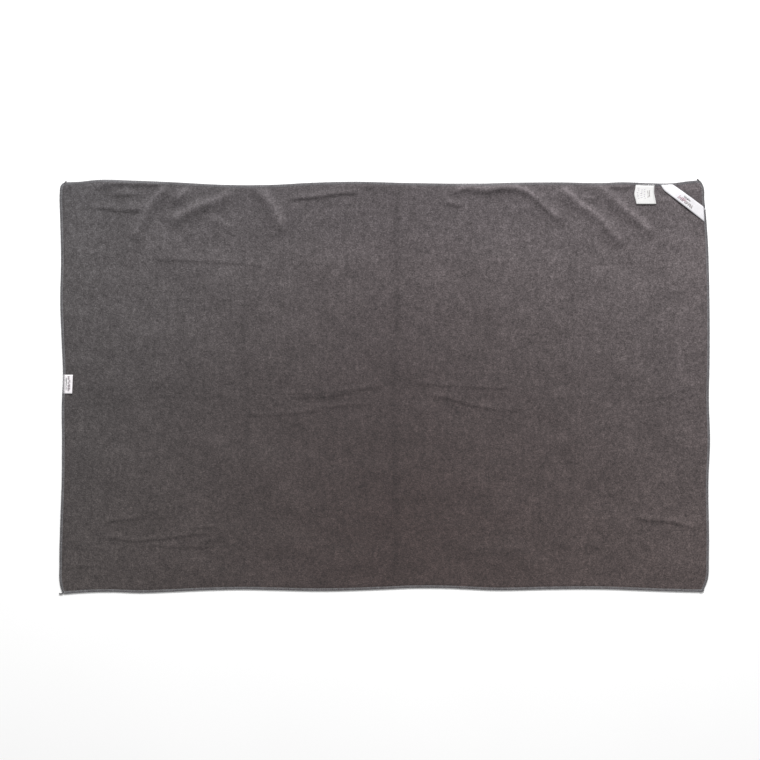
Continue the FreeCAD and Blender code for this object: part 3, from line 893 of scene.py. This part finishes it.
def pile_material():
    """Brushed microfibre pile: short fibres along its nap, tufts, blotches where it was stroked, slow changes
    of painted light and shade, a painted highlight on the crests, painted shade in the furrows, and an even
    painted grey for scattered light."""
    material, tree, shader, rest = new_material(
        "brushed_pile",
        {
            "Roughness": 0.62,
            "Sheen Weight": 0.10,
            "Sheen Roughness": 0.45,
            "Sheen Tint": (0.93, 0.90, 1.0, 1),
            "Specular IOR Level": 0.15,
        },
    )
    flow = add(tree, "ShaderNodeTexNoise", {"Vector": rest, "Scale": 70.0, "Detail": 2.0}).outputs["Color"]
    swirl = {0: flow, 1: (0.009, 0.009, 0.009), 2: rest}
    bent = add(tree, "ShaderNodeVectorMath", swirl, operation="MULTIPLY_ADD").outputs[0]
    fibre = noise_of(tree, bent, 2300, 3, (1, 0.3, 1))
    clump = add(
        tree,
        "ShaderNodeTexVoronoi",
        {"Vector": bent, "Scale": 340.0, "Smoothness": 1.0, "Randomness": 1.0},
        feature="SMOOTH_F1",
    ).outputs["Distance"]
    speck = noise_of(tree, bent, 800)
    grain = noise_of(tree, rest, 430)
    tuft = noise_of(tree, rest, 150, 2, (1, 0.8, 1))
    stroke = noise_of(tree, rest, 60, 4, (1, 0.7, 1))
    blotch = noise_of(tree, rest, 14, 4)
    # The painted highlight on the crests and the painted shade in the furrows, kept on the cloth.
    highlight_strength, closed = attribute_of(tree, "painted_crest_highlight"), attribute_of(tree, "painted_furrow_shade")
    tone = total(
        tree,
        (fibre, 0.22), (clump, -0.22), (speck, 0.17), (grain, 0.42),
        (tuft, 0.27), (stroke, 0.20), (blotch, 0.12), (highlight_strength, 0.075), (closed, -0.085),
    )
    colour = ramp(tree, spread(tree, tone, *PILE_TONES), PILE_COLOURS)
    # Painted light: lighter towards the top and the right, and the round patch darker in its middle.
    for tint in pile_painted_light_and_patch(tree, rest):
        colour = mix(tree, "MULTIPLY", colour, tint)
    # Painted light: the even grey of scattered light and of the sheen and gloss kept low.
    colour = mix(tree, "ADD", colour, PILE_PAINTED_SCATTER)
    tree.links.new(colour, shader.inputs["Base Color"])
    bump(tree, shader, total(tree, (fibre, 0.32), (clump, -0.50), (speck, 0.30), (grain, 0.15)), 0.0012, 0.85)
    return material


def colour_by(tree, shader, tone, low, high, dark, light):
    """Colours the shader from dark, where tone is low, to light, where it is high."""
    colour = ramp(tree, spread(tree, tone, low, high), ((0, dark), (1, light)))
    tree.links.new(colour, shader.inputs["Base Color"])


def thread_material(name, dark, light):
    """Spun thread: fine lengthways fibres and a little unevenness in its dye."""
    look = {"Roughness": 0.6, "Sheen Weight": 0.4, "Sheen Tint": (1, 0.98, 1, 1)}
    material, tree, shader, rest = new_material(name, look)
    fibre = noise_of(tree, rest, 2600)
    dye = noise_of(tree, rest, 120, 3)
    colour_by(tree, shader, total(tree, (fibre, 0.5), (dye, 0.5)), 0.35, 0.65, dark, light)
    bump(tree, shader, fibre, 0.0002, 0.7)
    return material


def rib_wave(tree, place, rib, direction):
    """The rise and fall of a weave's ribs, across that direction."""
    wave = {"Vector": place, "Scale": rib, "Distortion": 0.6, "Detail": 1.0}
    return add(tree, "ShaderNodeTexWave", wave, bands_direction=direction).outputs["Fac"]


def weave_material(name, dark, light, rib, turn=0.0):
    """Woven satin or tape: fine ribs one way, finer threads across them, and slight shading in the cloth."""
    look = {"Roughness": 0.45, "Sheen Weight": 0.25, "Sheen Roughness": 0.3}
    material, tree, shader, rest = new_material(name, look)
    mapped = add(tree, "ShaderNodeMapping", {"Vector": rest, "Rotation": (0, 0, turn)}).outputs["Vector"]
    ribs = rib_wave(tree, mapped, rib, "X")
    threads = rib_wave(tree, mapped, rib * 1.6, "Y")
    shade = noise_of(tree, rest, 90, 3)
    colour_by(tree, shader, total(tree, (ribs, 0.2), (threads, 0.2), (shade, 0.6)), 0.25, 0.75, dark, light)
    bump(tree, shader, total(tree, (ribs, 0.6), (threads, 0.4)), 0.00012, 0.6)
    return material


def ink_material(name, dark, light):
    """Print that the threads take unevenly."""
    material, tree, shader, rest = new_material(name, {"Roughness": 0.6})
    patchy = noise_of(tree, rest, 700, 3)
    colour_by(tree, shader, patchy, 0.35, 0.65, dark, light)
    bump(tree, shader, patchy, 0.0001, 0.5)
    return material


def floor_material():
    """Pale paper with a very faint unevenness."""
    material, tree, shader, _ = new_material("pale_floor", {"Roughness": 0.9})
    place = add(tree, "ShaderNodeTexCoord").outputs["Object"]
    paper = ramp(tree, noise_of(tree, place, 3), ((0, (0.93, 0.93, 0.93)), (1, (0.96, 0.96, 0.96))))
    tree.links.new(paper, shader.inputs["Base Color"])
    return material


# ================================================================ floor, light and camera


FLOOR_SIZE = 60            # metres, as all in this section
FLOOR_DROP = 0.0002        # just under the towel, so that the two never share a surface
ROOM_LIGHT = 0.50
LAMP_PLACE = (0.3, 3.4, 2.65)
LAMP_SIZE = (1.3, 0.8)
LAMP_WATTS = 236
CAMERA_PLACE = (-0.0098, 0.012, 3.603)
CAMERA_LENS, CAMERA_SENSOR = 85, 36  # millimetres


def build_floor():
    """The plain pale floor."""
    bpy.ops.mesh.primitive_plane_add(size=FLOOR_SIZE, location=(0, 0, -FLOOR_DROP))
    floor = bpy.context.object
    floor.name = "studio_floor"
    floor.data.materials.append(floor_material())


def build_lights():
    """White light from all round, and a soft lamp beyond the towel's top edge, turned to its middle."""
    world = bpy.data.worlds.new("studio")
    bpy.context.scene.world = world
    world.use_nodes = True
    back = world.node_tree.nodes["Background"]
    back.inputs["Color"].default_value = (1, 1, 1, 1)
    back.inputs["Strength"].default_value = ROOM_LIGHT
    lamp = bpy.data.lights.new("window_light", "AREA")
    lamp.shape = "RECTANGLE"
    lamp.size, lamp.size_y = LAMP_SIZE
    lamp.energy = LAMP_WATTS
    light = bpy.data.objects.new("window_light", lamp)
    light.location = LAMP_PLACE
    light.rotation_euler = (-Vector(LAMP_PLACE)).to_track_quat("-Z", "Y").to_euler()
    bpy.context.scene.collection.objects.link(light)
    bpy.context.scene.view_settings.view_transform = "Standard"


def build_camera():
    """The camera, straight above the towel and looking down."""
    camera = bpy.data.cameras.new("camera")
    camera.lens = CAMERA_LENS
    camera.sensor_width = CAMERA_SENSOR
    holder = bpy.data.objects.new("camera", camera)
    holder.location = CAMERA_PLACE
    bpy.context.scene.collection.objects.link(holder)
    bpy.context.scene.camera = holder


# ================================================================ the towel


# Each chain tail: the corner, the body it rides on, and its route off the corner.
TAILS = (
    ("top_left", "left_half", ((-643, 406, 1.6), (-641, 409, 1.9), (-639.5, 411, 1.6))),
    ("top_right", "right_half", ((631, 409.5, 1.6), (629.5, 413, 2.1), (626.5, 415, 1.7))),
    (
        "bottom_left",
        "left_half",
        ((-643.5, -413.5, 1.6), (-647, -416, 1.9), (-650, -417.2, 1.6), (-653.5, -416.6, 1.5)),
    ),
    ("bottom_right", "right_half", ((629, -410.5, 1.6), (635, -412.5, 1.9), (640, -409.8, 1.7))),
)
# Each leaf: its node, its shape, its right edge and its print.
LEAVES = (
    ("care_label_back", BACK_LEAF, LABEL_HIGH.x, ()),
    ("care_label_front", FRONT_LEAF, LABEL_FRONT_RIGHT, FRONT_PRINT),
)
SIDE_SEAM_INSET = 1        # how far short of the corner each seam starts and ends
LONG_SEAM_INSET = 3


def blend_over_fold(obj):
    """Bakes a piece's place into its mesh."""
    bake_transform(obj)


def build_seams():
    """The four seams and their chain tails."""
    thread = thread_material("overlock_thread_look", (0.115, 0.113, 0.12), (0.27, 0.27, 0.285))
    dark_thread = thread_material("tail_thread_look", (0.036, 0.034, 0.035), (0.085, 0.081, 0.083))
    seams = []
    for side, body in ((LEFT, "left_half"), (RIGHT, "right_half")):
        seam = overlock(side, -HALF_WIDTH + SIDE_SEAM_INSET, HALF_WIDTH - SIDE_SEAM_INSET, thread)
        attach(seam, body)
        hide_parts(f"{side}_overlock")
        seams.append(seam)
    for side in (TOP, BOTTOM):
        seam = overlock(side, -HALF_LENGTH + LONG_SEAM_INSET, HALF_LENGTH - LONG_SEAM_INSET, thread)
        blend_over_fold(seam)
        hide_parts(f"{side}_overlock_left", f"{side}_overlock_right")
        seams.append(seam)
    for corner, body, route in TAILS:
        tail = chain_tail(f"{corner}_tail", route, dark_thread)
        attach(tail, body)
        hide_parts(f"{corner}_thread_tail")
        seams.append(tail)
    return seams


def build_cloth():
    """The cloth with its seams."""
    cloth = towel_cloth(pile_material())
    blend_over_fold(cloth)
    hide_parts("towel_left_half", "towel_right_half")
    build_seams()


def build_ribbon(grey_ink):
    """The hanging ribbon, which rides on the right half."""
    tape = weave_material("ribbon_look", (0.60, 0.59, 0.615), (0.71, 0.70, 0.72), 420, RIBBON_TURN)
    dark_ink = ink_material("dark_print", (0.05, 0.042, 0.045), (0.16, 0.14, 0.145))
    rose_ink = ink_material("rose_print", (0.18, 0.07, 0.10), (0.36, 0.19, 0.23))
    ribbon = hanging_ribbon(tape, (dark_ink, rose_ink, grey_ink))
    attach(ribbon, "right_half")
    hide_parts("corner_loop")


def build_label(grey_ink):
    """The care label's two leaves at the top seam."""
    satin = weave_material("label_satin_look", (0.58, 0.575, 0.57), (0.68, 0.675, 0.67), 700)
    pale_ink = ink_material("pale_print", (0.51, 0.49, 0.52), (0.59, 0.57, 0.60))
    for node, leaf, right, marks in LEAVES:
        name = node.replace("care_label", "label_leaf")
        obj = care_leaf(name, leaf, right, marks, satin, (grey_ink, pale_ink))
        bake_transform(obj)
        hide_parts(node)


def build_tag():
    """The folded side tag at the left seam."""
    weave = weave_material("tag_look", (0.76, 0.73, 0.75), (0.93, 0.90, 0.92), 500)
    green_ink = ink_material("grey_green_print", (0.05, 0.055, 0.052), (0.20, 0.22, 0.21))
    mauve_ink = ink_material("mauve_print", (0.06, 0.042, 0.052), (0.22, 0.17, 0.20))
    tag = side_tag(weave, (green_ink, mauve_ink))
    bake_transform(tag)
    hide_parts("side_tag")


def build():
    """The whole towel."""
    grey_ink = ink_material("grey_print", (0.11, 0.095, 0.092), (0.26, 0.23, 0.225))
    build_cloth()
    build_ribbon(grey_ink)
    build_label(grey_ink)
    build_tag()


build_floor()
build_lights()
build_camera()
build()
